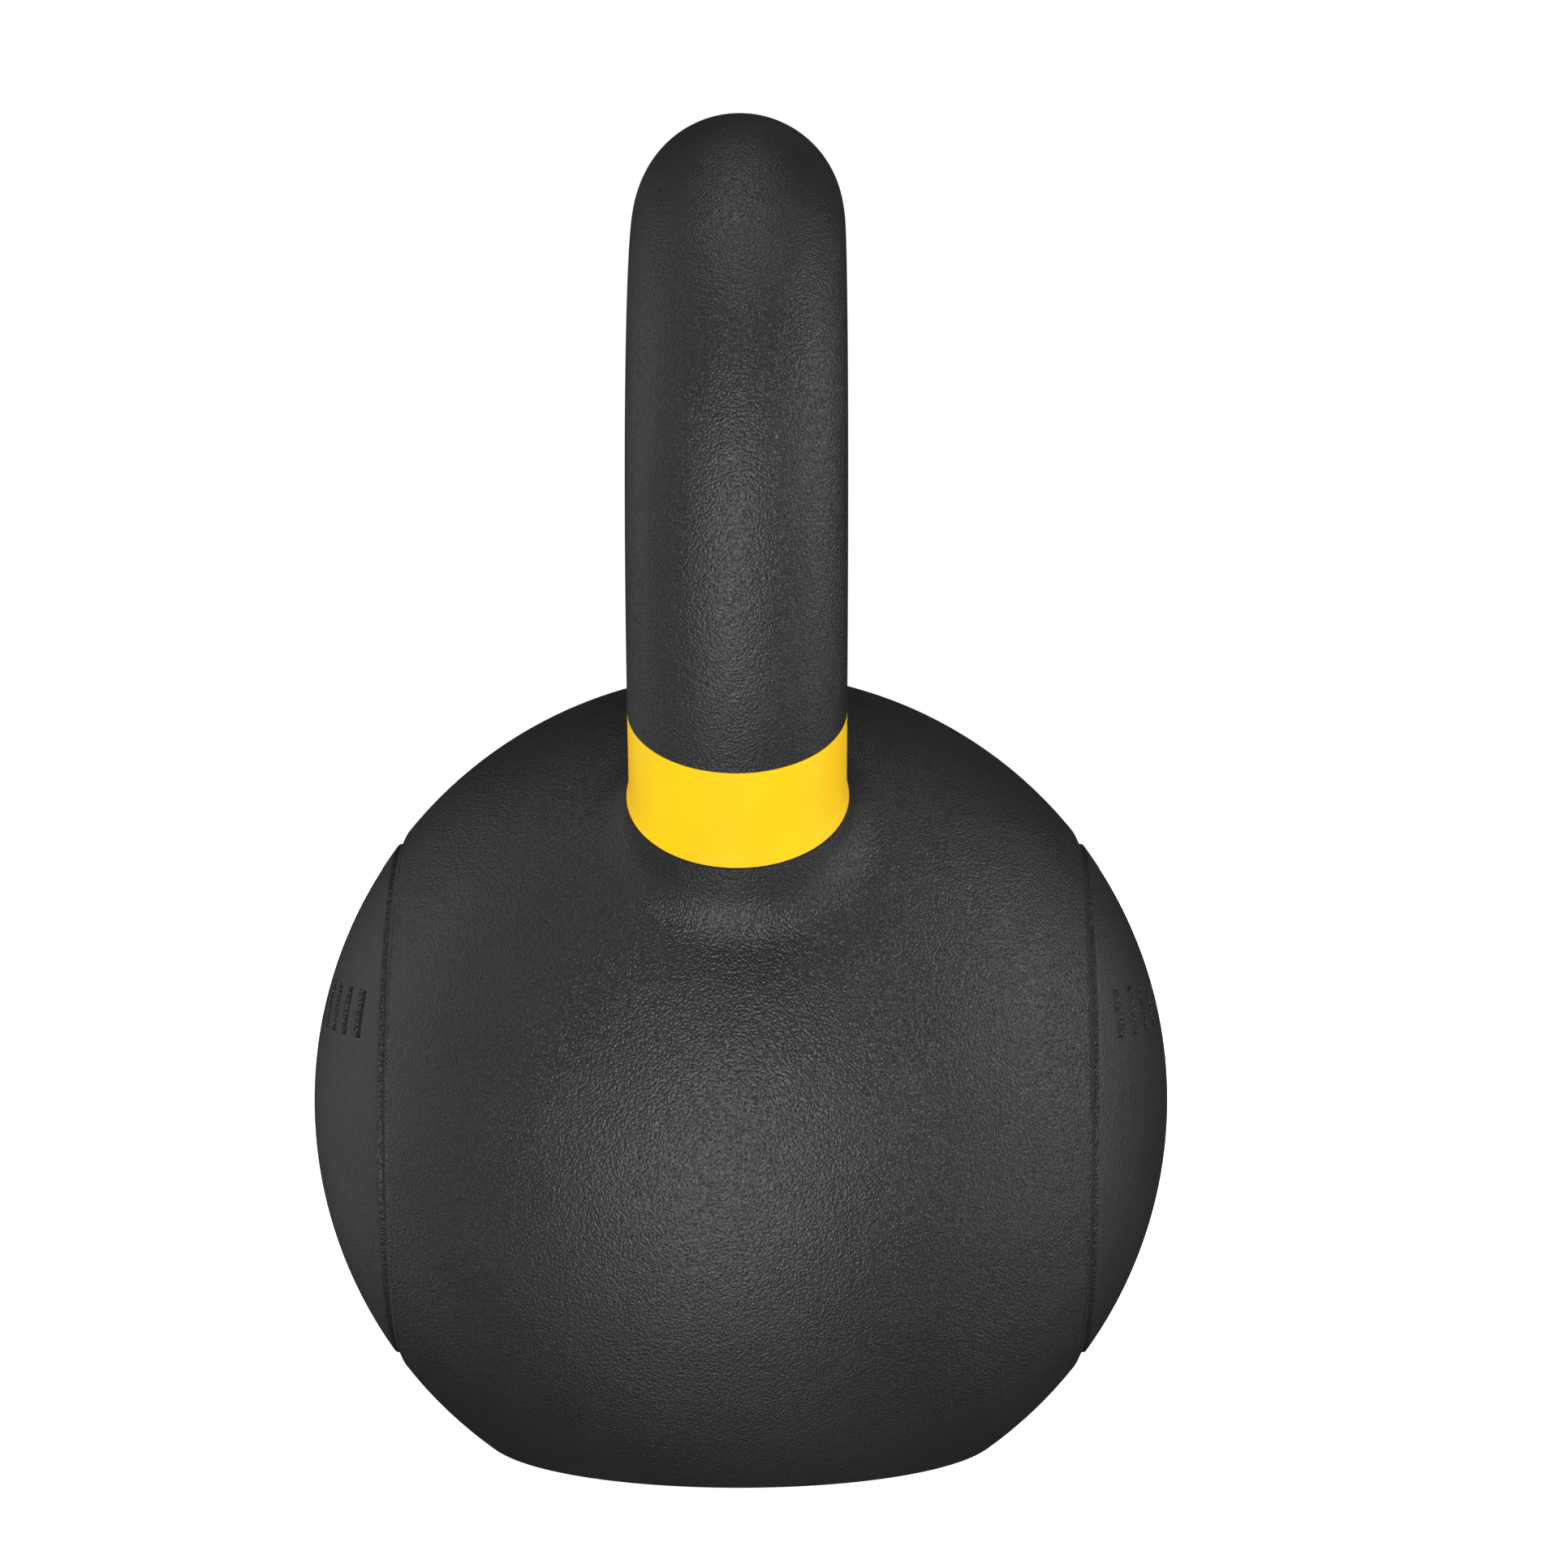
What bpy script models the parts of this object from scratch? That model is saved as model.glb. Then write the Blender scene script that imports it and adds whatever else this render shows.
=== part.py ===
"""Kettlebell: a rubber-cased iron ball with a bent bar handle, colour bands and side discs."""

from math import acos, asin, atan2, cos, pi, radians, sin, sqrt, tan

import bmesh
import bpy
from mathutils import Vector

MM = 0.001

# Fits
GAP = 0.3 * MM

# Ball
BALL_RADIUS = 81.5 * MM
BALL_HEIGHT = 65.6 * MM
COVER_THICKNESS = 5.0 * MM
BASE_ROUND = 3.0 * MM
CORE_RADIUS = BALL_RADIUS - COVER_THICKNESS - GAP
CORE_FLAT_X = 58.6 * MM
CORE_FLAT_Z = BALL_HEIGHT - COVER_THICKNESS - GAP

# Handle centreline: a shallow crown, a corner bend, then a leg bend into the ball
BAR_RADIUS = 19.3 * MM
TENON_RADIUS = 17.75 * MM
GRIP_HEIGHT = 167.2 * MM
CROWN_RADIUS = 228.0 * MM
CORNER_RADIUS = 47.6 * MM
LEG_RADIUS = 77.3 * MM
CROWN_ANGLE = radians(10.3)
CORNER_ANGLE = radians(76.5)
LEG_ANGLE = radians(33.2)
LEAN = CROWN_ANGLE + CORNER_ANGLE + LEG_ANGLE - pi / 2
TENON_LENGTH = 57.7 * MM

# Colour bands
BAND_RISE = 0.6 * MM
BAND_TOP_TILT = radians(2.7)
BAND_HEIGHT = 17.7 * MM
BAND_TILT = radians(6.0)
BAND_FLARE = 0.45 * MM
FLARE_HEIGHT = 3.0 * MM

# Shoulder of the cover round each leg
NECK_RADIUS = 20.0 * MM
NECK_FILLET = 10.5 * MM
NECK_TOP = 6.0 * MM

# Weld beads
BEAD_RADIUS = 2.2 * MM
BEAD_INSET = 0.9 * MM
BEAD_PATH = TENON_RADIUS + GAP + BEAD_INSET

# Side discs
DISC_RADIUS = 48.6 * MM
DISC_BACK_X = CORE_FLAT_X + GAP
DISC_EDGE = 0.2 * MM
LIP_X = 64.65 * MM
LIP_DROP = 1.6 * MM
LIP_WIDTH = 3.05 * MM
PEG_RADIUS = 10.0 * MM
PEG_LENGTH = 12.0 * MM

# Plain pattern of slanted bars cut into each disc
BAR_COUNT = 13
BAR_WIDTH = 3.0 * MM
BAR_SPACING = 6.2 * MM
BAR_TALL = 8.5 * MM
BAR_SLANT = 2.5 * MM
BAR_CENTRE_Z = 20.0 * MM
BAR_DEPTH = 0.7 * MM

# Facets
AROUND = 44
NECK_AROUND = 56
FILLET_STEPS = 5
SPHERE_STEPS = 14
BEAD_STEPS = 8
ROOM_AROUND = 40
BASE_STEPS = 2
DOME_STEPS = 8
BEND_STEPS = 12


def clear_scene():
    """Remove everything the scene starts with."""
    for item in list(bpy.data.objects):
        bpy.data.objects.remove(item, do_unlink=True)


def make_material(name, colour, metallic, roughness):
    """A Principled material with one flat colour."""
    material = bpy.data.materials.new(name)
    material.use_nodes = True
    shader = material.node_tree.nodes["Principled BSDF"]
    shader.inputs["Base Color"].default_value = (*colour, 1.0)
    shader.inputs["Metallic"].default_value = metallic
    shader.inputs["Roughness"].default_value = roughness
    material.diffuse_color = (*colour, 1.0)
    return material


def add_object(name, vertices, faces, material=None):
    """Link a mesh object; smooth shading for pieces that carry a material."""
    mesh = bpy.data.meshes.new(name)
    mesh.from_pydata([tuple(v) for v in vertices], [], faces)
    shape = bmesh.new()
    shape.from_mesh(mesh)
    bmesh.ops.recalc_face_normals(shape, faces=shape.faces)
    shape.to_mesh(mesh)
    shape.free()
    item = bpy.data.objects.new(name, mesh)
    bpy.context.scene.collection.objects.link(item)
    if material:
        mesh.materials.append(material)
        mesh.polygons.foreach_set("use_smooth", [True] * len(mesh.polygons))
        mesh.set_sharp_from_angle(angle=radians(30.0))
    return item


def add_cutter(name, vertices, faces):
    """Link a mesh used only to cut other pieces."""
    item = add_object(name, vertices, faces)
    item.hide_render = True
    item.display_type = "WIRE"
    return item


def cut(item, cutter):
    """Take the cutter away from the item."""
    modifier = item.modifiers.new("cut_" + cutter.name, "BOOLEAN")
    modifier.operation = "DIFFERENCE"
    modifier.solver = "EXACT"
    modifier.object = cutter


def loft(rings, capped=True):
    """Quads between rings of equal length; caps both ends, or joins last to first."""
    count = len(rings[0])
    vertices = [point for ring in rings for point in ring]
    faces = []
    spans = len(rings) - 1 if capped else len(rings)
    for k in range(spans):
        a = k * count
        b = ((k + 1) % len(rings)) * count
        for i in range(count):
            j = (i + 1) % count
            faces.append((a + i, a + j, b + j, b + i))
    if capped:
        last = (len(rings) - 1) * count
        faces.append(tuple(reversed(range(count))))
        faces.append(tuple(range(last, last + count)))
    return vertices, faces


def merge(*parts):
    """Several vertex and face lists as one."""
    vertices = []
    faces = []
    for part_vertices, part_faces in parts:
        start = len(vertices)
        vertices.extend(part_vertices)
        faces.extend(tuple(start + i for i in face) for face in part_faces)
    return vertices, faces


def mirrored(part, axis):
    """The part and its mirror image across the plane through the ball's centre."""
    vertices, faces = part
    flipped = []
    for vertex in vertices:
        point = Vector(vertex)
        point[axis] = -point[axis]
        flipped.append(point)
    return flipped, [tuple(reversed(face)) for face in faces]


def pair(part, axis):
    """The part together with its mirror image."""
    return merge(part, mirrored(part, axis))


def turned(profile, axis, count=AROUND):
    """Solid of revolution about X or Z from (along, radius) points, first and last near the axis."""
    rings = []
    for along, radius in profile:
        ring = []
        for i in range(count):
            angle = 2 * pi * i / count
            c = radius * cos(angle)
            s = radius * sin(angle)
            if axis == "X":
                ring.append(Vector((along, c, s + BALL_HEIGHT)))
            else:
                ring.append(Vector((c, s, along)))
        rings.append(ring)
    return loft(rings)


def leg_point(depth, radius, angle):
    """Point at a depth down the front leg, a radius from its axis; angle 0 faces the rear leg."""
    top = CENTRELINE_FOOT
    y = top[0] + depth * sin(LEAN) + radius * cos(angle) * cos(LEAN)
    z = top[1] - depth * cos(LEAN) + radius * cos(angle) * sin(LEAN)
    return Vector((radius * sin(angle), y, z + BALL_HEIGHT))


def crown_line(steps):
    """Front half of the handle centreline as (y, z, tangent angle), from the crown down."""
    points = [(0.0, GRIP_HEIGHT, 0.0)]
    bends = (
        (CROWN_RADIUS, CROWN_ANGLE, steps // 3),
        (CORNER_RADIUS, CORNER_ANGLE, steps),
        (LEG_RADIUS, LEG_ANGLE, steps // 2),
    )
    for radius, turn, count in bends:
        y0, z0, start = points[-1]
        for i in range(1, count + 1):
            angle = start + turn * i / count
            y = y0 - radius * (sin(angle) - sin(start))
            z = z0 - radius * (cos(start) - cos(angle))
            points.append((y, z, angle))
    return points


CENTRELINE_FOOT = crown_line(3)[-1][:2]
AXIS_DEPTH = -CENTRELINE_FOOT[0] * sin(LEAN) + CENTRELINE_FOOT[1] * cos(LEAN)
AXIS_OFFSET = -CENTRELINE_FOOT[0] * cos(LEAN) - CENTRELINE_FOOT[1] * sin(LEAN)


def sphere_depth(sphere_radius, radius, angle):
    """Depth down the leg at which a sphere about the ball's centre is met."""
    x = radius * sin(angle)
    r = radius * cos(angle) - AXIS_OFFSET
    return AXIS_DEPTH - sqrt(sphere_radius**2 - x**2 - r**2)


def band_top(radius, angle):
    """Depth of the slightly sloping plane where the handle bar ends and a colour band starts."""
    return -BAND_RISE - radius * tan(BAND_TOP_TILT) * cos(angle)


def band_foot(radius, angle):
    """Depth of the sloping plane on which a colour band stands."""
    return BAND_HEIGHT - radius * tan(BAND_TILT) * cos(angle)


def bend_ring(y, z, angle):
    """Ring of the handle bar about its centreline; turn 0 is on the outside of the bend."""
    ring = []
    for i in range(AROUND):
        turn = 2 * pi * i / AROUND
        out = BAR_RADIUS * cos(turn)
        up = z + cos(angle) * out + BALL_HEIGHT
        ring.append(Vector((BAR_RADIUS * sin(turn), y - sin(angle) * out, up)))
    return ring


def foot_ring(depth, radius, slope):
    """Ring of the handle bar's end in line with the bend rings; slope 1 follows the band's top."""
    ring = []
    for i in range(AROUND):
        angle = pi - 2 * pi * i / AROUND
        ring.append(leg_point(depth + slope * (band_top(radius, angle) - GAP), radius, angle))
    return ring


def handle_bar():
    """Bent bar with a reduced tenon at each end."""
    front = [bend_ring(*station) for station in crown_line(BEND_STEPS)[:-1]]
    front.append(foot_ring(0.0, BAR_RADIUS, 1.0))
    front.append(foot_ring(0.0, TENON_RADIUS, 1.0))
    front.append(foot_ring(TENON_LENGTH, TENON_RADIUS, 0.0))
    rear = [[Vector((p.x, -p.y, p.z)) for p in ring] for ring in reversed(front[1:])]
    return loft(rear + front)


def leg_rings(profile, count=AROUND):
    """Rings about the front leg from (depth function, radius) pairs."""
    rings = []
    for depth, radius in profile:
        ring = []
        for i in range(count):
            angle = 2 * pi * i / count
            ring.append(leg_point(depth(radius, angle), radius, angle))
        rings.append(ring)
    return rings


def colour_band():
    """Collar round the front leg with a flared foot on a sloping plane."""
    inner = TENON_RADIUS + GAP
    middle = BAR_RADIUS + BAND_FLARE / 4
    outer = BAR_RADIUS + BAND_FLARE
    profile = (
        (band_top, inner),
        (band_top, BAR_RADIUS),
        (lambda r, a: band_foot(r, a) - GAP - FLARE_HEIGHT, BAR_RADIUS),
        (lambda r, a: band_foot(r, a) - GAP - FLARE_HEIGHT / 2, middle),
        (lambda r, a: band_foot(r, a) - GAP - FLARE_HEIGHT / 6, outer),
        (lambda r, a: band_foot(r, a) - GAP, outer),
        (lambda r, a: band_foot(r, a) - GAP, inner),
    )
    return loft(leg_rings(profile), capped=False)


def leg_cylinder(radius, start, end):
    """Solid cylinder on the front leg's axis."""
    profile = ((lambda r, a: start, radius), (lambda r, a: end, radius))
    return loft(leg_rings(profile))


def bead_centre(angle):
    """Depth of the weld bead's centre line, which follows the core's surface round the leg."""
    return sphere_depth(CORE_RADIUS + GAP + BEAD_INSET, BEAD_PATH, angle)


def weld_bead():
    """Fillet weld between the front leg and the core, clear of both."""
    rings = []
    tuck = asin(BEAD_INSET / BEAD_RADIUS)
    for i in range(AROUND):
        angle = 2 * pi * i / AROUND
        centre = bead_centre(angle)
        normal = atan2(AXIS_DEPTH - centre, BEAD_PATH - AXIS_OFFSET * cos(angle))
        first = pi / 2 + tuck
        last = normal - pi / 2 - tuck
        corner = sphere_depth(CORE_RADIUS + GAP, TENON_RADIUS + GAP, angle)
        ring = [leg_point(corner, TENON_RADIUS + GAP, angle)]
        for k in range(BEAD_STEPS + 1):
            turn = first + (last - first) * k / BEAD_STEPS
            depth = centre - BEAD_RADIUS * sin(turn)
            ring.append(leg_point(depth, BEAD_PATH + BEAD_RADIUS * cos(turn), angle))
        rings.append(ring)
    return loft(rings, capped=False)


def bead_room():
    """Round channel that leaves room for the weld bead inside the cover."""
    rings = []
    radius = BEAD_RADIUS + GAP
    for i in range(ROOM_AROUND):
        angle = 2 * pi * i / ROOM_AROUND
        centre = bead_centre(angle)
        ring = []
        for k in range(BEAD_STEPS):
            turn = 2 * pi * k / BEAD_STEPS
            depth = centre - radius * sin(turn)
            ring.append(leg_point(depth, BEAD_PATH + radius * cos(turn), angle))
        rings.append(ring)
    return loft(rings, capped=False)


def core_ball(clearance):
    """Ball with a flat on each side, grown by a clearance."""
    radius = CORE_RADIUS + clearance
    flat = CORE_FLAT_X + clearance
    edge = acos(flat / radius)
    steps = AROUND // 2
    arc = [edge + (pi - 2 * edge) * i / steps for i in range(steps + 1)]
    profile = [(radius * cos(a), radius * sin(a)) for a in arc]
    return turned(list(reversed(profile)), "X")


def slab(size, top):
    """Box below a height, wide enough to pass the ball."""
    low = top - size
    corners = ((-size, -size), (size, -size), (size, size), (-size, size))
    rings = [[Vector((x, y, z)) for x, y in corners] for z in (low, top)]
    return loft(rings)


def fillet_row(angle):
    """Cover surface in one plane through the leg axis: neck, fillet, then the ball's tangent point."""
    centre = AXIS_OFFSET * cos(angle)
    section = sqrt(BALL_RADIUS**2 - (AXIS_OFFSET * sin(angle)) ** 2)
    reach = NECK_RADIUS + NECK_FILLET - centre
    rise = sqrt((section + NECK_FILLET) ** 2 - reach**2)
    fillet_depth = AXIS_DEPTH - rise
    sweep = atan2(rise, reach)
    points = [leg_point(NECK_TOP, NECK_RADIUS, angle)]
    for k in range(FILLET_STEPS + 1):
        turn = sweep * k / FILLET_STEPS
        radius = NECK_RADIUS + NECK_FILLET * (1 - cos(turn))
        depth = fillet_depth + NECK_FILLET * sin(turn)
        points.append(leg_point(depth, radius, angle))
    return points


def ball_row(start, pole):
    """Arc on the ball from a start direction away from a pole to the middle plane."""
    away = (start - pole * start.dot(pole)).normalized()
    first = start.angle(pole)
    last = atan2(-pole.y, away.y)
    points = []
    for k in range(1, SPHERE_STEPS + 1):
        angle = first + (last - first) * k / SPHERE_STEPS
        points.append(pole * cos(angle) + away * sin(angle))
    return points


def cover_blank():
    """Outer surface of the cover as one closed body with two closed necks."""
    middle = Vector((0.0, 0.0, BALL_HEIGHT))
    neck = leg_point(sphere_depth(BALL_RADIUS, 0.0, 0.0), 0.0, 0.0)
    pole = (neck - middle).normalized()
    columns = []
    for i in range(NECK_AROUND):
        points = fillet_row(2 * pi * i / NECK_AROUND)
        arc = ball_row((points[-1] - middle).normalized(), pole)
        columns.append(points + [middle + BALL_RADIUS * direction for direction in arc])
    front = [list(ring) for ring in zip(*columns)]
    rear = [[Vector((p.x, -p.y, p.z)) for p in ring] for ring in reversed(front[:-1])]
    return loft(front + rear)


def base_cutter():
    """Everything below the base and outside its rounded edge."""
    centre_z = BALL_HEIGHT - BASE_ROUND
    centre_r = sqrt((BALL_RADIUS - BASE_ROUND) ** 2 - centre_z**2)
    start = atan2(centre_z, centre_r)
    arc = []
    for k in range(BASE_STEPS + 1):
        angle = start + (pi / 2 - start) * k / BASE_STEPS
        arc.append((BASE_ROUND * (1 - sin(angle)), centre_r + BASE_ROUND * cos(angle)))
    rise = arc[0][0] - arc[1][0]
    run = arc[0][1] - arc[1][1]
    beyond = (arc[0][0] + rise, arc[0][1] + run)
    wide = 2 * BALL_RADIUS
    return turned([(-wide, wide), (beyond[0], wide), beyond] + arc, "Z")


def disc_opening():
    """Round opening for the right-hand disc with a sloping lip outside it."""
    radius = DISC_RADIUS + GAP
    outer = radius + LIP_WIDTH
    profile = (
        (CORE_FLAT_X / 2, radius),
        (LIP_X, radius),
        (LIP_X - LIP_DROP, outer),
        (2 * BALL_RADIUS, outer),
    )
    return turned(profile, "X")


def side_disc():
    """Right-hand disc: peg, flat back, short wall and a dome level with the ball."""
    edge_radius = DISC_RADIUS - DISC_EDGE
    edge_x = sqrt(BALL_RADIUS**2 - edge_radius**2)
    profile = [
        (DISC_BACK_X - PEG_LENGTH, PEG_RADIUS),
        (DISC_BACK_X, PEG_RADIUS),
        (DISC_BACK_X, DISC_RADIUS),
        (edge_x - DISC_EDGE, DISC_RADIUS),
    ]
    for k in range(DOME_STEPS):
        radius = edge_radius * (1 - k / (DOME_STEPS - 0.9))
        profile.append((sqrt(BALL_RADIUS**2 - radius**2), radius))
    return turned(profile, "X")


def disc_bars():
    """Slanted bars that cut a shallow pattern into the right-hand disc."""
    bars = []
    for k in range(BAR_COUNT):
        middle = (k - (BAR_COUNT - 1) / 2) * BAR_SPACING
        outline = []
        for side in (-1, 1):
            for step in (-1, 0, 1):
                lift = -side * step * BAR_TALL / 2
                across = middle + side * BAR_WIDTH / 2 + BAR_SLANT * lift / BAR_TALL
                outline.append((across, lift + BAR_CENTRE_Z))
        rings = []
        for radius in (BALL_RADIUS - BAR_DEPTH, BALL_RADIUS + BAR_DEPTH):
            ring = []
            for across, lift in outline:
                x = sqrt(radius**2 - across**2 - lift**2)
                ring.append(Vector((x, across, lift + BALL_HEIGHT)))
            rings.append(ring)
        bars.append(loft(rings))
    return merge(*bars)


def build():
    """Make every piece, cutting each one where its neighbours pass through."""
    iron = make_material("core_iron", (0.09, 0.085, 0.08), 0.8, 0.6)
    coat = make_material("handle_coat", (0.045, 0.045, 0.047), 0.1, 0.55)
    rubber = make_material("cover_rubber", (0.04, 0.04, 0.041), 0.0, 0.6)
    cap = make_material("disc_rubber", (0.035, 0.035, 0.036), 0.0, 0.6)
    yellow = make_material("band_yellow", (0.95, 0.6, 0.02), 0.0, 0.4)
    steel = make_material("weld_steel", (0.3, 0.29, 0.28), 0.9, 0.5)

    hole_radius = TENON_RADIUS + GAP
    wide = 2 * BALL_RADIUS
    core_flat = BALL_HEIGHT - CORE_FLAT_Z

    core_base = add_cutter("cut_core_base", *slab(wide, core_flat))
    sockets = leg_cylinder(hole_radius, NECK_TOP, TENON_LENGTH + GAP)
    core_sockets = add_cutter("cut_core_sockets", *pair(sockets, 1))
    peg_profile = (
        (DISC_BACK_X - PEG_LENGTH - GAP, PEG_RADIUS + GAP),
        (BALL_RADIUS, PEG_RADIUS + GAP),
    )
    core_pegs = add_cutter("cut_core_pegs", *pair(turned(peg_profile, "X"), 0))
    core = add_object("iron_core", *core_ball(0.0), iron)
    for cutter in (core_base, core_sockets, core_pegs):
        cut(core, cutter)

    add_object("handle_bar", *handle_bar(), coat)

    clear_base = add_cutter("cut_clear_base", *slab(wide, core_flat - GAP))
    clear_core = add_cutter("cut_clear_core", *core_ball(GAP))
    cut(clear_core, clear_base)
    base = add_cutter("cut_base", *base_cutter())
    openings = add_cutter("cut_disc_openings", *pair(disc_opening(), 0))
    legs = leg_cylinder(hole_radius, 0.0, TENON_LENGTH)
    leg_holes = add_cutter("cut_leg_holes", *pair(legs, 1))
    trim_radius = NECK_RADIUS + NECK_FILLET / 2
    trim_profile = (
        (lambda r, a: NECK_TOP / 2, trim_radius),
        (band_foot, trim_radius),
    )
    trim = add_cutter("cut_neck_tops", *pair(loft(leg_rings(trim_profile)), 1))
    channels = add_cutter("cut_bead_channels", *pair(bead_room(), 1))
    cover = add_object("ball_cover", *cover_blank(), rubber)
    for cutter in (base, clear_core, openings, trim, leg_holes, channels):
        cut(cover, cutter)

    for name, flip in (("front", False), ("rear", True)):
        band = colour_band()
        weld = weld_bead()
        if flip:
            band = mirrored(band, 1)
            weld = mirrored(weld, 1)
        add_object(name + "_band", *band, yellow)
        add_object(name + "_weld", *weld, steel)

    for name, flip in (("right", False), ("left", True)):
        disc = side_disc()
        bars = disc_bars()
        if flip:
            disc = mirrored(disc, 0)
            bars = mirrored(bars, 0)
        side = add_object(name + "_disc", *disc, cap)
        cut(side, add_cutter("cut_bars_" + name, *bars))


clear_scene()
build()
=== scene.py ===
from math import acos, atan2, cos, pi, radians, sin, sqrt, tan

import bmesh
import bpy
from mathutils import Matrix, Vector


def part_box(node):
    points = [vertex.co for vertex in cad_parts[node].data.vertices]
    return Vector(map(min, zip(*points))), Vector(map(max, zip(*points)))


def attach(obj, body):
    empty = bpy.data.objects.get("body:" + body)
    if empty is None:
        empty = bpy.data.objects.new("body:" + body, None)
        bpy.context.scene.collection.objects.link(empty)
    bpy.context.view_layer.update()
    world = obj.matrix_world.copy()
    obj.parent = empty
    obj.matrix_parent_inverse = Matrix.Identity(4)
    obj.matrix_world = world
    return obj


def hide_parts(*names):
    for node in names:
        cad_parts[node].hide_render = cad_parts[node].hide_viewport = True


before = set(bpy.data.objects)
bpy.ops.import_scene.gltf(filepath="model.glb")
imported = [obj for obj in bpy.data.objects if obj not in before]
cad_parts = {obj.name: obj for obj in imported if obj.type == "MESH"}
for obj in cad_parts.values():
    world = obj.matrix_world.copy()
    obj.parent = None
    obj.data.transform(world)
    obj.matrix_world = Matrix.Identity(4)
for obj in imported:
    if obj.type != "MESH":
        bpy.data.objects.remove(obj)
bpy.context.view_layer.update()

MM = 0.001

# Ball, discs and bar as packed
DISC_LOW, DISC_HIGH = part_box("right_disc")
BAR_LOW, BAR_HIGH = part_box("handle_bar")
BALL_RADIUS = DISC_HIGH.x
BALL_HEIGHT = (DISC_LOW.z + DISC_HIGH.z) / 2
MIDDLE = Vector((0.0, 0.0, BALL_HEIGHT))
DISC_RADIUS = (DISC_HIGH.z - DISC_LOW.z) / 2
BAR_RADIUS = BAR_HIGH.x
GRIP_HEIGHT = BAR_HIGH.z - BAR_RADIUS - BALL_HEIGHT

# Fits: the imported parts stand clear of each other, the finished ones nearly touch
GAP = 0.3 * MM
SEAM = 0.08 * MM

# Rubber cover over the iron core
COVER_THICKNESS = 5.0 * MM
BASE_ROUND = 3.0 * MM
CORE_RADIUS = BALL_RADIUS - COVER_THICKNESS - GAP
CORE_FLAT_X = 58.6 * MM
CORE_FLAT_Z = BALL_HEIGHT - COVER_THICKNESS - GAP

# Handle centreline: a shallow crown, a corner bend, then a leg bend into the ball
TENON_RADIUS = 17.75 * MM
TENON_LENGTH = 57.7 * MM
CROWN_RADIUS = 228.0 * MM
CORNER_RADIUS = 47.6 * MM
LEG_RADIUS = 77.3 * MM
CROWN_ANGLE = radians(10.3)
CORNER_ANGLE = radians(76.5)
LEG_ANGLE = radians(33.2)
LEAN = CROWN_ANGLE + CORNER_ANGLE + LEG_ANGLE - pi / 2

# Colour bands
BAND_RISE = 0.6 * MM
BAND_TOP_TILT = radians(2.7)
BAND_HEIGHT = 17.7 * MM
BAND_TILT = radians(6.0)
BAND_FLARE = 0.45 * MM
FLARE_HEIGHT = 3.0 * MM
BAND_EDGE = 0.25 * MM

# Shoulder of the cover round each leg
NECK_RADIUS = 20.0 * MM
NECK_FILLET = 10.5 * MM
NECK_TOP = 6.0 * MM

# Clearance for the weld beads
BEAD_RADIUS = 2.2 * MM
BEAD_INSET = 0.9 * MM
BEAD_PATH = TENON_RADIUS + GAP + BEAD_INSET

# Side discs and the lip of the opening round each
DISC_BACK_X = CORE_FLAT_X + GAP
DISC_EDGE = 0.35 * MM
LIP_X = 64.65 * MM
LIP_EDGE_X = 63.5 * MM
LIP_ROUND = 0.3 * MM
CREASE = 0.3 * MM
PEG_RADIUS = 10.0 * MM
PEG_LENGTH = 12.0 * MM

# Plain pattern of slanted bars sunk into each disc
BAR_COUNT = 13
BAR_WIDTH = 3.0 * MM
BAR_SPACING = 6.2 * MM
BAR_TALL = 8.5 * MM
BAR_SLANT = 2.5 * MM
BAR_CENTRE_Z = 20.0 * MM
BAR_DEPTH = 0.7 * MM
SUNK_DEPTH = 0.1 * MM

# Grain: wide clouds of colour and gloss, and wrinkles finer than the pebbles
CLOUD_PITCH = 22.0 * MM
CLOUD_DETAIL = 3.0
CLOUD_RANGE = (0.3, 0.7)
GLOSS_SPREAD = 0.03
WRINKLE_SHARE = 1.6

# Looks: dark and light colour, roughness, pitch of the grain, depth of the grain
BLACK = ((0.0215, 0.0215, 0.0218), (0.0268, 0.0268, 0.0271))
HANDLE_LOOK = (*BLACK, 0.325, 0.5 * MM, 0.145 * MM)
COVER_LOOK = (*BLACK, 0.295, 0.52 * MM, 0.16 * MM)
DISC_LOOK = (*BLACK, 0.38, 0.46 * MM, 0.1 * MM)
SUNK_LOOK = (*BLACK, 0.34, 0.65 * MM, 0.22 * MM)
BLACK_SPECULAR = 0.447
# Painted shade: a darker copy of the black, with less shine, for the disc faces sunk in the groove and
# the bars
SHADE_PAINTED_BLACK = ((0.0172, 0.0172, 0.0174), (0.0214, 0.0214, 0.0217))
RECESS_SHADE_LOOK = (*SHADE_PAINTED_BLACK, 0.34, 0.65 * MM, 0.22 * MM)
RECESS_SPECULAR = 0.31
BAND_LOOK = ((1.0, 0.645, 0.008), (1.0, 0.715, 0.012), 0.5, 0.9 * MM, 0.02 * MM)
BAND_DIFFUSE_ROUGHNESS = 0.65
BAND_SPECULAR = 0.2
BAND_SHEEN = 1.0
BAND_SHEEN_ROUGHNESS = 0.5
BAND_SHEEN_TINT = (1.0, 0.48, 0.02, 1.0)
IRON_LOOK = ((0.07, 0.066, 0.062), (0.11, 0.1, 0.095), 0.6, 1.5 * MM, 0.2 * MM)
WELD_LOOK = ((0.2, 0.19, 0.18), (0.4, 0.38, 0.36), 0.5, 1.0 * MM, 0.1 * MM)

# Fineness of the meshes
AROUND_LEG = 128
AROUND_BASE = 192
AROUND_STUDIO = 96

# Turned shapes close with a small flat round their axis
PIN_RADIUS = 1.0 * MM
LAST_STEP = 0.9

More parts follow.
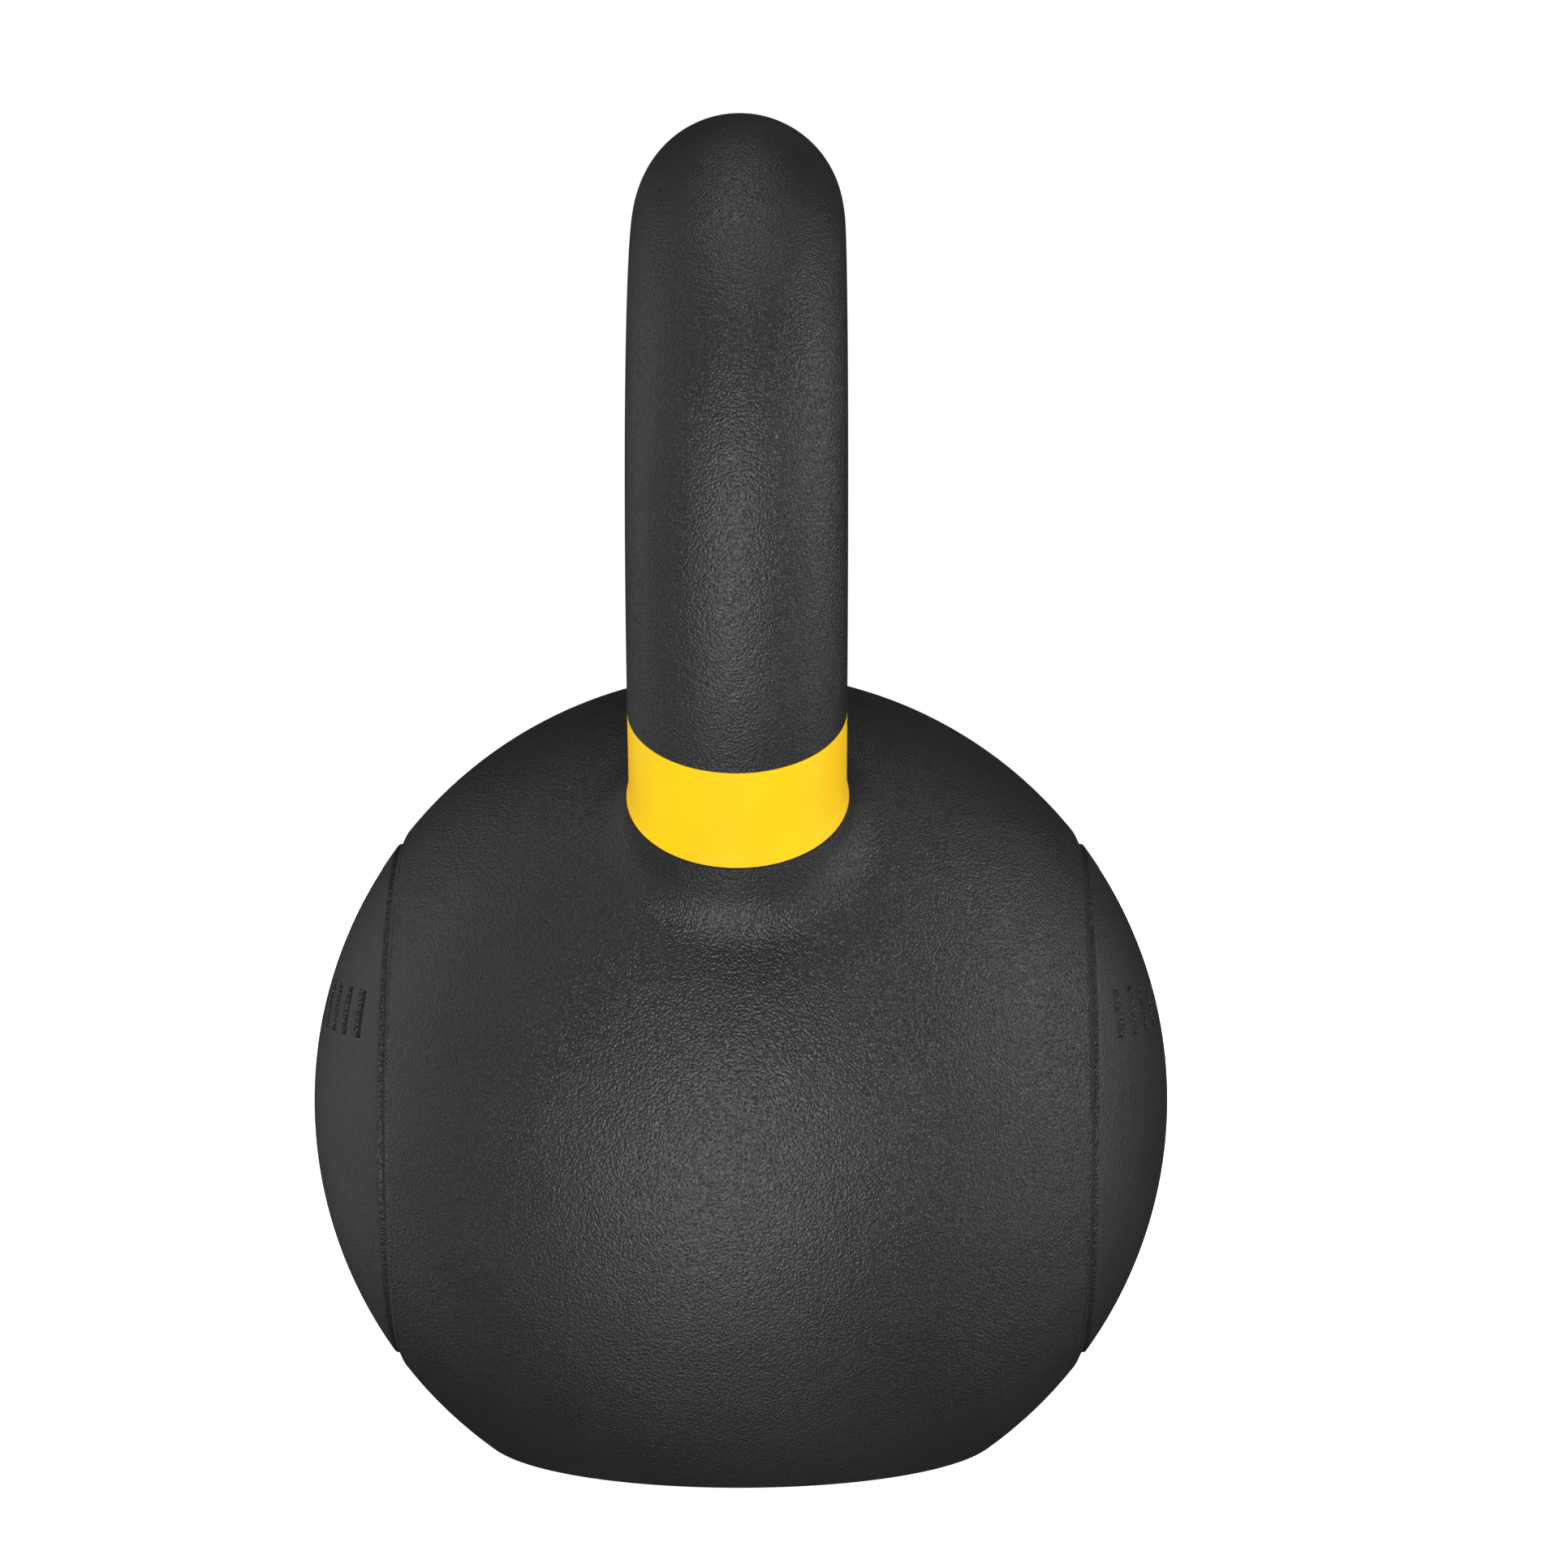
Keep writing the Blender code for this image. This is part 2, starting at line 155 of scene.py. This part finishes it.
# Camera and studio
CAMERA_PLACE = Vector((8.2, -845.6, 170.1)) * MM
CAMERA_TILT = radians(87.0)
CAMERA_LENS = 101.65
SENSOR = 36.0
STUDIO_RADIUS = 6.0
FLOOR_GAP = 0.2 * MM
STUDIO_COLOUR = (0.9, 0.9, 0.9, 1.0)
WHITE = (1.0, 1.0, 1.0, 1.0)
WORLD_STRENGTH = 0.02

# Softboxes: azimuth (0 in front, 90 on the right), elevation, height, power
LIGHT_WIDTH = 0.8
LIGHT_DISTANCE = 1.5
SOFTBOXES = {
    "front": (0.0, 0.0, 0.8, 15.9),
    "high_front": (0.0, 30.0, 0.8, 0.6),
    "low_front": (0.0, -45.0, 0.8, 3.9),
    "low_left": (-28.0, -30.0, 0.8, 4.5),
    "right": (90.0, 20.0, 0.8, 8.0),
    "high_right": (90.0, 50.0, 0.8, 0.6),
    "low_right": (90.0, -20.0, 0.8, 3.7),
    "left": (-90.0, 15.0, 0.8, 2.1),
    "high_left": (-90.0, 45.0, 0.8, 1.4),
    "left_low": (-90.0, -25.0, 0.8, 0.6),
    "rear_left": (-125.0, 5.0, 1.8, 2.5),
    "top": (0.0, 85.0, 0.8, 6.0),
}
REAR_FILL = (180.0, 10.0, 0.8, 12.0)


def add_object(name, vertices, faces):
    """Link a mesh object with faces that point outward."""
    mesh = bpy.data.meshes.new(name)
    mesh.from_pydata([tuple(v) for v in vertices], [], faces)
    shape = bmesh.new()
    shape.from_mesh(mesh)
    bmesh.ops.recalc_face_normals(shape, faces=shape.faces)
    shape.to_mesh(mesh)
    shape.free()
    item = bpy.data.objects.new(name, mesh)
    bpy.context.scene.collection.objects.link(item)
    return item


def cut_all(item, *cutters):
    """Take closed shapes away from the item and keep only the resulting mesh."""
    tools = [add_object("cutter", *cutter) for cutter in cutters]
    for tool in tools:
        modifier = item.modifiers.new("cut", "BOOLEAN")
        modifier.operation = "DIFFERENCE"
        modifier.solver = "EXACT"
        modifier.object = tool
    graph = bpy.context.evaluated_depsgraph_get()
    mesh = bpy.data.meshes.new_from_object(item.evaluated_get(graph))
    item.modifiers.clear()
    item.data = mesh
    for tool in tools:
        bpy.data.objects.remove(tool, do_unlink=True)


def smooth(item, angle=30.0):
    """Smooth shading with crisp edges above an angle in degrees."""
    item.data.polygons.foreach_set("use_smooth", [True] * len(item.data.polygons))
    item.data.set_sharp_from_angle(angle=radians(angle))


def finish_piece(item, node, material, sunk_material=None):
    """Shade a piece and let it stand for its node; faces sunk into its sides may look different."""
    smooth(item)
    item.data.materials.append(material)
    # On the discs the second material is painted shade, a darker black on the sunk bars, wall and
    # back; on the cover it changes only gloss and grain
    if sunk_material:
        item.data.materials.append(sunk_material)
        for face in item.data.polygons:
            sunk = (face.center - MIDDLE).length < BALL_RADIUS - SUNK_DEPTH
            if sunk and abs(face.center.x) > CORE_FLAT_X:
                face.material_index = 1
    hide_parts(node)
    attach(item, "root")


def loft(rings, capped=True):
    """Quads between rings of equal length; either caps both ends or joins the last to the first."""
    count = len(rings[0])
    vertices = [point for ring in rings for point in ring]
    faces = []
    spans = len(rings) - 1 if capped else len(rings)
    for k in range(spans):
        a = k * count
        b = ((k + 1) % len(rings)) * count
        for i in range(count):
            j = (i + 1) % count
            faces.append((a + i, a + j, b + j, b + i))
    if capped:
        last = (len(rings) - 1) * count
        faces.append(tuple(reversed(range(count))))
        faces.append(tuple(range(last, last + count)))
    return vertices, faces


def merge(*parts):
    """Several vertex and face lists as one."""
    vertices = []
    faces = []
    for part_vertices, part_faces in parts:
        start = len(vertices)
        vertices.extend(part_vertices)
        faces.extend(tuple(start + i for i in face) for face in part_faces)
    return vertices, faces


def mirrored(part, axis):
    """The part and its mirror image across the plane through the ball's centre."""
    vertices, faces = part
    flipped = []
    for vertex in vertices:
        point = Vector(vertex)
        point[axis] = -point[axis]
        flipped.append(point)
    return flipped, [tuple(reversed(face)) for face in faces]


def pair(part, axis):
    """The part together with its mirror image."""
    return merge(part, mirrored(part, axis))


def turned(profile, axis, count):
    """Solid turned about X or Z from (along, radius) points, the first and last near the axis."""
    rings = []
    for along, radius in profile:
        ring = []
        for i in range(count):
            angle = 2 * pi * i / count
            c = radius * cos(angle)
            s = radius * sin(angle)
            if axis == "X":
                ring.append(Vector((along, c, s + BALL_HEIGHT)))
            else:
                ring.append(Vector((c, s, along)))
        rings.append(ring)
    return loft(rings)


def rounded(points, radius, steps=5):
    """The profile with each inner corner replaced by an arc."""
    result = [points[0]]
    for before, corner, after in zip(points, points[1:], points[2:]):
        corner = Vector(corner)
        a = (Vector(before) - corner).normalized()
        b = (Vector(after) - corner).normalized()
        half = a.angle(b) / 2
        centre = corner + (a + b).normalized() * (radius / sin(half))
        start = corner + a * (radius / tan(half)) - centre
        end = corner + b * (radius / tan(half)) - centre
        first = atan2(start.y, start.x)
        sweep = (atan2(end.y, end.x) - first + pi) % (2 * pi) - pi
        for k in range(steps + 1):
            turn = first + sweep * k / steps
            result.append((centre.x + radius * cos(turn), centre.y + radius * sin(turn)))
    result.append(points[-1])
    return result


def leg_point(depth, radius, angle):
    """Point at a depth down the front leg, a radius from its axis; angle 0 faces the rear leg."""
    top = CENTRELINE_FOOT
    y = top[0] + depth * sin(LEAN) + radius * cos(angle) * cos(LEAN)
    z = top[1] - depth * cos(LEAN) + radius * cos(angle) * sin(LEAN)
    return Vector((radius * sin(angle), y, z + BALL_HEIGHT))


def centreline(steps):
    """Front half of the handle centreline as (y, z, tangent angle), from the crown down."""
    points = [(0.0, GRIP_HEIGHT, 0.0)]
    bends = (
        (CROWN_RADIUS, CROWN_ANGLE, steps // 3),
        (CORNER_RADIUS, CORNER_ANGLE, steps),
        (LEG_RADIUS, LEG_ANGLE, steps // 2),
    )
    for radius, turn, count in bends:
        y0, z0, start = points[-1]
        for i in range(1, count + 1):
            angle = start + turn * i / count
            y = y0 - radius * (sin(angle) - sin(start))
            z = z0 - radius * (cos(start) - cos(angle))
            points.append((y, z, angle))
    return points


# Foot of the centreline; how far down and to the side the leg's axis passes the ball's centre
CENTRELINE_FOOT = centreline(3)[-1][:2]
AXIS_DEPTH = -CENTRELINE_FOOT[0] * sin(LEAN) + CENTRELINE_FOOT[1] * cos(LEAN)
AXIS_OFFSET = -CENTRELINE_FOOT[0] * cos(LEAN) - CENTRELINE_FOOT[1] * sin(LEAN)


def sphere_depth(sphere_radius, radius, angle):
    """Depth down the leg at which a sphere about the ball's centre is met."""
    x = radius * sin(angle)
    r = radius * cos(angle) - AXIS_OFFSET
    return AXIS_DEPTH - sqrt(sphere_radius**2 - x**2 - r**2)


def band_top(radius, angle):
    """Depth of the slightly sloping plane where the handle bar ends and a colour band starts."""
    return -BAND_RISE - radius * tan(BAND_TOP_TILT) * cos(angle)


def band_foot(radius, angle):
    """Depth of the sloping plane on which a colour band stands."""
    return BAND_HEIGHT - radius * tan(BAND_TILT) * cos(angle)


def bend_ring(y, z, angle, count):
    """Ring of the handle bar about its centreline; turn 0 is on the outside of the bend."""
    ring = []
    for i in range(count):
        turn = 2 * pi * i / count
        out = BAR_RADIUS * cos(turn)
        up = z + cos(angle) * out + BALL_HEIGHT
        ring.append(Vector((BAR_RADIUS * sin(turn), y - sin(angle) * out, up)))
    return ring


def foot_ring(depth, radius, slope, count):
    """Ring of the handle bar's end in line with the bend rings; slope 1 follows the band's top."""
    ring = []
    for i in range(count):
        angle = pi - 2 * pi * i / count
        ring.append(leg_point(depth + slope * (band_top(radius, angle) - SEAM), radius, angle))
    return ring


def handle_bar(around=160, bend_steps=66):
    """Bent bar with a reduced tenon at each end."""
    front = [bend_ring(*station, around) for station in centreline(bend_steps)[:-2]]
    front.append(foot_ring(0.0, BAR_RADIUS, 1.0, around))
    front.append(foot_ring(0.0, TENON_RADIUS, 1.0, around))
    front.append(foot_ring(TENON_LENGTH, TENON_RADIUS, 0.0, around))
    rear = [[Vector((p.x, -p.y, p.z)) for p in ring] for ring in reversed(front[1:])]
    return loft(rear + front)


def leg_rings(profile, count):
    """Rings about the front leg from (depth function, radius) pairs."""
    rings = []
    for depth, radius in profile:
        ring = []
        for i in range(count):
            angle = 2 * pi * i / count
            ring.append(leg_point(depth(radius, angle), radius, angle))
        rings.append(ring)
    return rings


def band_ring(share, drop, radius, count):
    """Ring of a band, a share of the way from its top to its foot plus a drop, at a radius."""
    ring = []
    for i in range(count):
        angle = 2 * pi * i / count
        top = band_top(radius, angle)
        foot = band_foot(radius, angle) - SEAM
        ring.append(leg_point(top + (foot - top) * share + drop, radius, angle))
    return ring


def colour_band(around=160, wall_steps=8, flare_steps=8, edge_steps=4):
    """Collar round the front leg with rounded edges and a softly flared foot."""
    inner = TENON_RADIUS + GAP
    outer = BAR_RADIUS + BAND_FLARE
    rings = [band_ring(0.0, 0.0, inner, around)]
    for k in range(edge_steps + 1):
        turn = pi / 2 * k / edge_steps
        radius = BAR_RADIUS - BAND_EDGE * (1 - sin(turn))
        rings.append(band_ring(0.0, BAND_EDGE * (1 - cos(turn)), radius, around))
    for k in range(1, wall_steps):
        share = k / wall_steps
        rings.append(band_ring(share, -FLARE_HEIGHT * share, BAR_RADIUS, around))
    for k in range(flare_steps + 1):
        share = k / flare_steps
        radius = BAR_RADIUS + BAND_FLARE * share**2 * (3 - 2 * share)
        drop = (FLARE_HEIGHT - BAND_EDGE) * share - FLARE_HEIGHT
        rings.append(band_ring(1.0, drop, radius, around))
    for k in range(1, edge_steps + 1):
        turn = pi / 2 * k / edge_steps
        radius = outer - BAND_EDGE * (1 - cos(turn))
        rings.append(band_ring(1.0, -BAND_EDGE * (1 - sin(turn)), radius, around))
    rings.append(band_ring(1.0, 0.0, inner, around))
    return loft(rings, capped=False)


def leg_cylinder(radius, start, end):
    """Solid cylinder on the front leg's axis."""
    profile = ((lambda r, a: start, radius), (lambda r, a: end, radius))
    return loft(leg_rings(profile, AROUND_LEG))


def bead_room(around=40, steps=8):
    """Round channel that leaves room for the weld bead inside the cover."""
    rings = []
    radius = BEAD_RADIUS + GAP
    for i in range(around):
        angle = 2 * pi * i / around
        centre = sphere_depth(CORE_RADIUS + GAP + BEAD_INSET, BEAD_PATH, angle)
        ring = []
        for k in range(steps):
            turn = 2 * pi * k / steps
            depth = centre - radius * sin(turn)
            ring.append(leg_point(depth, BEAD_PATH + radius * cos(turn), angle))
        rings.append(ring)
    return loft(rings, capped=False)


def core_room(around=64):
    """The space for the core inside the cover: a ball with flat sides."""
    radius = CORE_RADIUS + GAP
    flat = CORE_FLAT_X + GAP
    edge = acos(flat / radius)
    steps = around // 2
    arc = [edge + (pi - 2 * edge) * i / steps for i in range(steps + 1)]
    profile = [(radius * cos(a), radius * sin(a)) for a in arc]
    return turned(list(reversed(profile)), "X", around)


def slab(size, top):
    """Box below a height, wide enough to pass the ball."""
    low = top - size
    corners = ((-size, -size), (size, -size), (size, size), (-size, size))
    rings = [[Vector((x, y, z)) for x, y in corners] for z in (low, top)]
    return loft(rings)


def fillet_row(angle, steps):
    """Cover surface in one plane through the leg's axis, from the neck down the fillet to the ball."""
    centre = AXIS_OFFSET * cos(angle)
    section = sqrt(BALL_RADIUS**2 - (AXIS_OFFSET * sin(angle)) ** 2)
    reach = NECK_RADIUS + NECK_FILLET - centre
    rise = sqrt((section + NECK_FILLET) ** 2 - reach**2)
    fillet_depth = AXIS_DEPTH - rise
    sweep = atan2(rise, reach)
    points = [leg_point(NECK_TOP, NECK_RADIUS, angle)]
    for k in range(steps + 1):
        turn = sweep * k / steps
        radius = NECK_RADIUS + NECK_FILLET * (1 - cos(turn))
        depth = fillet_depth + NECK_FILLET * sin(turn)
        points.append(leg_point(depth, radius, angle))
    return points


def ball_row(start, pole, steps):
    """Arc on the ball from a start direction away from a pole to the middle plane."""
    away = (start - pole * start.dot(pole)).normalized()
    first = start.angle(pole)
    last = atan2(-pole.y, away.y)
    points = []
    for k in range(1, steps + 1):
        angle = first + (last - first) * k / steps
        points.append(pole * cos(angle) + away * sin(angle))
    return points


def cover_blank(around=180, fillet_steps=16, ball_steps=60):
    """Outer surface of the cover as one closed body with two closed necks."""
    neck = leg_point(sphere_depth(BALL_RADIUS, 0.0, 0.0), 0.0, 0.0)
    pole = (neck - MIDDLE).normalized()
    columns = []
    for i in range(around):
        points = fillet_row(2 * pi * i / around, fillet_steps)
        arc = ball_row((points[-1] - MIDDLE).normalized(), pole, ball_steps)
        columns.append(points + [MIDDLE + BALL_RADIUS * direction for direction in arc])
    front = [list(ring) for ring in zip(*columns)]
    rear = [[Vector((p.x, -p.y, p.z)) for p in ring] for ring in reversed(front[:-1])]
    return loft(front + rear)


def base_cutter(steps=8):
    """Everything below the base and outside its rounded edge."""
    centre_z = BALL_HEIGHT - BASE_ROUND
    centre_r = sqrt((BALL_RADIUS - BASE_ROUND) ** 2 - centre_z**2)
    start = atan2(centre_z, centre_r)
    arc = []
    for k in range(steps + 1):
        angle = start + (pi / 2 - start) * k / steps
        arc.append((BASE_ROUND * (1 - sin(angle)), centre_r + BASE_ROUND * cos(angle)))
    rise = arc[0][0] - arc[1][0]
    run = arc[0][1] - arc[1][1]
    beyond = (arc[0][0] + rise, arc[0][1] + run)
    wide = 2 * BALL_RADIUS
    return turned([(-wide, wide), (beyond[0], wide), beyond] + arc, "Z", AROUND_BASE)


def disc_opening(around=256):
    """Round opening for the right-hand disc: a sloping lip that ends in a fine crease at the ball."""
    radius = DISC_RADIUS + SEAM
    rim = Vector((LIP_EDGE_X, sqrt(BALL_RADIUS**2 - LIP_EDGE_X**2)))
    slope = (rim - Vector((LIP_X, radius))).normalized()
    inward = Vector((-slope.y, slope.x))
    mouth = rim - slope * CREASE
    corners = [(CORE_FLAT_X / 2, radius), (LIP_X, radius), tuple(mouth)]
    profile = rounded(corners, LIP_ROUND)
    profile.append(tuple(rim - slope * CREASE / 2 + inward * CREASE))
    profile.append(tuple(rim + slope * CREASE))
    profile.append((3 * BALL_RADIUS, rim.y + slope.y * CREASE))
    return turned(profile, "X", around)


def side_disc(around=256, dome_steps=40, edge_steps=5):
    """Right-hand disc: peg, flat back, short wall, rounded edge and a dome level with the ball."""
    edge_radius = DISC_RADIUS - DISC_EDGE
    edge_x = sqrt((BALL_RADIUS - DISC_EDGE) ** 2 - edge_radius**2)
    lean = atan2(edge_radius, edge_x)
    profile = [
        (DISC_BACK_X - PEG_LENGTH, PEG_RADIUS),
        (DISC_BACK_X, PEG_RADIUS),
        (DISC_BACK_X, DISC_RADIUS),
    ]
    for k in range(edge_steps + 1):
        turn = pi / 2 + (lean - pi / 2) * k / edge_steps
        profile.append((edge_x + DISC_EDGE * cos(turn), edge_radius + DISC_EDGE * sin(turn)))
    for k in range(1, dome_steps):
        angle = lean * (1 - k / (dome_steps - LAST_STEP))
        profile.append((BALL_RADIUS * cos(angle), BALL_RADIUS * sin(angle)))
    return turned(profile, "X", around)


def bar_outline(middle, steps=8):
    """Outline of one slanted bar as (across, up) from the ball's centre, at a fine spacing."""
    left = []
    right = []
    for k in range(steps + 1):
        lift = BAR_TALL * (k / steps - 0.5)
        across = middle + BAR_SLANT * lift / BAR_TALL
        left.append((across - BAR_WIDTH / 2, lift + BAR_CENTRE_Z))
        right.append((across + BAR_WIDTH / 2, lift + BAR_CENTRE_Z))
    return left + right[::-1]


def disc_bars():
    """Slanted bars that cut a shallow pattern into the right-hand disc."""
    bars = []
    for k in range(BAR_COUNT):
        middle = (k - (BAR_COUNT - 1) / 2) * BAR_SPACING
        rings = []
        for radius in (BALL_RADIUS - BAR_DEPTH, BALL_RADIUS + BAR_DEPTH):
            ring = []
            for across, up in bar_outline(middle):
                x = sqrt(radius**2 - across**2 - up**2)
                ring.append(Vector((x, across, up + BALL_HEIGHT)))
            rings.append(ring)
        bars.append(loft(rings))
    return merge(*bars)


def add_node(tree, kind, **inputs):
    """A shader node with the given input values; names use _ for spaces."""
    node = tree.nodes.new(kind)
    for name, value in inputs.items():
        node.inputs[name.replace("_", " ")].default_value = value
    return node


def mottled(tree, place, dark, light, roughness):
    """Wide clouds that vary a surface's colour and gloss."""
    link = tree.links.new
    shader = tree.nodes["Principled BSDF"]
    cloud = add_node(tree, "ShaderNodeTexNoise", Scale=1.0 / CLOUD_PITCH, Detail=CLOUD_DETAIL)
    colour = tree.nodes.new("ShaderNodeValToRGB")
    for stop, position, shade in zip(colour.color_ramp.elements, CLOUD_RANGE, (dark, light)):
        stop.position = position
        stop.color = (*shade, 1.0)
    link(place, cloud.inputs["Vector"])
    link(cloud.outputs["Fac"], colour.inputs["Fac"])
    link(colour.outputs["Color"], shader.inputs["Base Color"])

    gloss = add_node(tree, "ShaderNodeMapRange")
    gloss.inputs["To Min"].default_value = roughness - GLOSS_SPREAD
    gloss.inputs["To Max"].default_value = roughness + GLOSS_SPREAD
    link(cloud.outputs["Fac"], gloss.inputs["Value"])
    link(gloss.outputs["Result"], shader.inputs["Roughness"])


def grained(name, dark, light, roughness, pitch, depth):
    """Matt moulded surface with mottled colour and a fine pebbled grain."""
    material = bpy.data.materials.new(name)
    material.use_nodes = True
    tree = material.node_tree
    link = tree.links.new
    place = tree.nodes.new("ShaderNodeTexCoord").outputs["Object"]
    mottled(tree, place, dark, light, roughness)

    pebbles = add_node(tree, "ShaderNodeTexVoronoi", Scale=1.0 / pitch)
    wrinkles = add_node(tree, "ShaderNodeTexNoise", Scale=WRINKLE_SHARE / pitch, Detail=1.0)
    height = tree.nodes.new("ShaderNodeMath")
    height.operation = "SUBTRACT"
    bump = add_node(tree, "ShaderNodeBump", Distance=depth)
    link(place, pebbles.inputs["Vector"])
    link(place, wrinkles.inputs["Vector"])
    link(wrinkles.outputs["Fac"], height.inputs[0])
    link(pebbles.outputs["Distance"], height.inputs[1])
    link(height.outputs["Value"], bump.inputs["Height"])
    link(bump.outputs["Normal"], tree.nodes["Principled BSDF"].inputs["Normal"])
    return material


def set_shader(material, **inputs):
    """Set constants on a material's own shader; names use _ for spaces."""
    shader = material.node_tree.nodes["Principled BSDF"]
    for name, value in inputs.items():
        shader.inputs[name.replace("_", " ")].default_value = value
    return material


def black_rubber(name, look, specular=BLACK_SPECULAR):
    """Matt black with a fine grain."""
    return set_shader(grained(name, *look), Specular_IOR_Level=specular)


def band_plastic():
    """Smooth yellow that turns warmer at the edges."""
    return set_shader(
        grained("band_yellow", *BAND_LOOK),
        Diffuse_Roughness=BAND_DIFFUSE_ROUGHNESS,
        Specular_IOR_Level=BAND_SPECULAR,
        Sheen_Weight=BAND_SHEEN,
        Sheen_Roughness=BAND_SHEEN_ROUGHNESS,
        Sheen_Tint=BAND_SHEEN_TINT,
    )


def make_camera():
    """The view: in front of one leg, just above the ball, looking slightly down."""
    data = bpy.data.cameras.new("camera")
    data.sensor_width = SENSOR
    data.lens = CAMERA_LENS
    camera = bpy.data.objects.new("camera", data)
    camera.location = CAMERA_PLACE
    camera.rotation_euler = (CAMERA_TILT, 0.0, 0.0)
    bpy.context.scene.collection.objects.link(camera)
    bpy.context.scene.camera = camera


def softbox(name, azimuth, elevation, height, power):
    """Area light aimed at the ball; azimuth 0 is in front and 90 on the right."""
    data = bpy.data.lights.new(name, "AREA")
    data.shape = "RECTANGLE"
    data.size = LIGHT_WIDTH
    data.size_y = height
    data.energy = power
    light = bpy.data.objects.new(name, data)
    a = radians(azimuth)
    e = radians(elevation)
    back = Vector((sin(a) * cos(e), -cos(a) * cos(e), sin(e)))
    light.location = MIDDLE + back * LIGHT_DISTANCE
    light.rotation_euler = back.to_track_quat("Z", "Y").to_euler()
    light.visible_camera = False
    bpy.context.scene.collection.objects.link(light)
    return light


def make_lights():
    """Softboxes round the ball, and a fill from behind that leaves no shine on the rims."""
    for name, values in SOFTBOXES.items():
        softbox(name, *values)
    softbox("rear", *REAR_FILL).visible_glossy = False


def studio_material():
    """Evenly bright white that is seen only from inside the studio."""
    material = bpy.data.materials.new("studio_white")
    material.use_nodes = True
    set_shader(
        material,
        Base_Color=STUDIO_COLOUR,
        Roughness=1.0,
        Specular_IOR_Level=0.0,
        Emission_Color=WHITE,
        Emission_Strength=1.0,
    )
    tree = material.node_tree
    link = tree.links.new
    clear = tree.nodes.new("ShaderNodeBsdfTransparent")
    facing = tree.nodes.new("ShaderNodeNewGeometry")
    inside = tree.nodes.new("ShaderNodeMixShader")
    link(facing.outputs["Backfacing"], inside.inputs["Fac"])
    link(clear.outputs["BSDF"], inside.inputs[1])
    link(tree.nodes["Principled BSDF"].outputs["BSDF"], inside.inputs[2])
    link(inside.outputs["Shader"], tree.nodes["Material Output"].inputs["Surface"])
    return material


def make_studio(steps=24):
    """Pale floor under a pale dome that neither lights nor shades the kettlebell."""
    profile = [(-FLOOR_GAP, PIN_RADIUS), (-FLOOR_GAP, STUDIO_RADIUS / 2)]
    for k in range(1, steps):
        angle = -pi / 2 + pi * k / steps
        profile.append((
            STUDIO_RADIUS / 2 * (1 + sin(angle)),
            STUDIO_RADIUS / 2 * (1 + cos(angle)),
        ))
    profile.append((STUDIO_RADIUS, PIN_RADIUS))
    studio = add_object("studio", *turned(profile, "Z", AROUND_STUDIO))
    studio.data.materials.append(studio_material())
    studio.visible_diffuse = False
    studio.visible_glossy = False
    studio.visible_shadow = False
    smooth(studio)


def make_world():
    """Faint even light from all round, and plain colour without a film look."""
    world = bpy.data.worlds.new("world")
    world.use_nodes = True
    background = world.node_tree.nodes["Background"]
    background.inputs["Color"].default_value = WHITE
    background.inputs["Strength"].default_value = WORLD_STRENGTH
    bpy.context.scene.world = world
    bpy.context.scene.view_settings.view_transform = "Standard"


def core_cutter():
    """The core's space with its flat bottom, as vertices and faces."""
    space = add_object("core_space", *core_room())
    cut_all(space, slab(2 * BALL_RADIUS, BALL_HEIGHT - CORE_FLAT_Z - GAP))
    vertices = [v.co.copy() for v in space.data.vertices]
    faces = [tuple(p.vertices) for p in space.data.polygons]
    bpy.data.objects.remove(space, do_unlink=True)
    return vertices, faces


def make_cover(rubber, sunk_rubber):
    """Cover with its base, disc openings, band seats, tenon holes and the space inside."""
    seat_radius = NECK_RADIUS + NECK_FILLET / 2
    seat = (
        (lambda r, a: NECK_TOP / 2, seat_radius),
        (band_foot, seat_radius),
    )
    cover = add_object("cover", *cover_blank())
    cut_all(
        cover,
        base_cutter(),
        core_cutter(),
        pair(disc_opening(), 0),
        pair(loft(leg_rings(seat, AROUND_LEG)), 1),
        pair(leg_cylinder(TENON_RADIUS + GAP, 0.0, TENON_LENGTH), 1),
        pair(bead_room(), 1),
    )
    finish_piece(cover, "ball_cover", rubber, sunk_rubber)


def make_handle(coat):
    """The bent bar."""
    bar = add_object("handle", *handle_bar())
    finish_piece(bar, "handle_bar", coat)


def make_bands(plastic):
    """A collar on the front leg and its mirror image on the rear leg."""
    front = colour_band()
    for name, band in (("front", front), ("rear", mirrored(front, 1))):
        item = add_object(name + "_collar", *band)
        finish_piece(item, name + "_band", plastic)


def make_discs(rubber, shade_painted_rubber):
    """The right-hand disc and its mirror image, each with its pattern of bars and painted shade on its
    sunk faces.
    """
    disc = side_disc()
    bars = disc_bars()
    item = add_object("right_cap", *disc)
    cut_all(item, bars)
    finish_piece(item, "right_disc", rubber, shade_painted_rubber)

    item = add_object("left_cap", *mirrored(disc, 0))
    cut_all(item, mirrored(bars, 0))
    finish_piece(item, "left_disc", rubber, shade_painted_rubber)


def coat_inside(iron, steel):
    """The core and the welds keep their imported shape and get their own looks."""
    for node, material in (("iron_core", iron), ("front_weld", steel), ("rear_weld", steel)):
        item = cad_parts[node]
        item.data.materials.clear()
        item.data.materials.append(material)


make_cover(black_rubber("cover_black", COVER_LOOK), black_rubber("sunk_black", SUNK_LOOK))
make_handle(black_rubber("handle_black", HANDLE_LOOK))
make_bands(band_plastic())
# Darker black with less shine for the discs' sunk faces: painted shade in the groove and bars
recess_painted_shade = black_rubber("recess_painted_shade", RECESS_SHADE_LOOK, RECESS_SPECULAR)
make_discs(black_rubber("disc_black", DISC_LOOK), recess_painted_shade)
coat_inside(grained("core_iron", *IRON_LOOK), grained("weld_steel", *WELD_LOOK))
make_camera()
make_studio()
make_world()
make_lights()
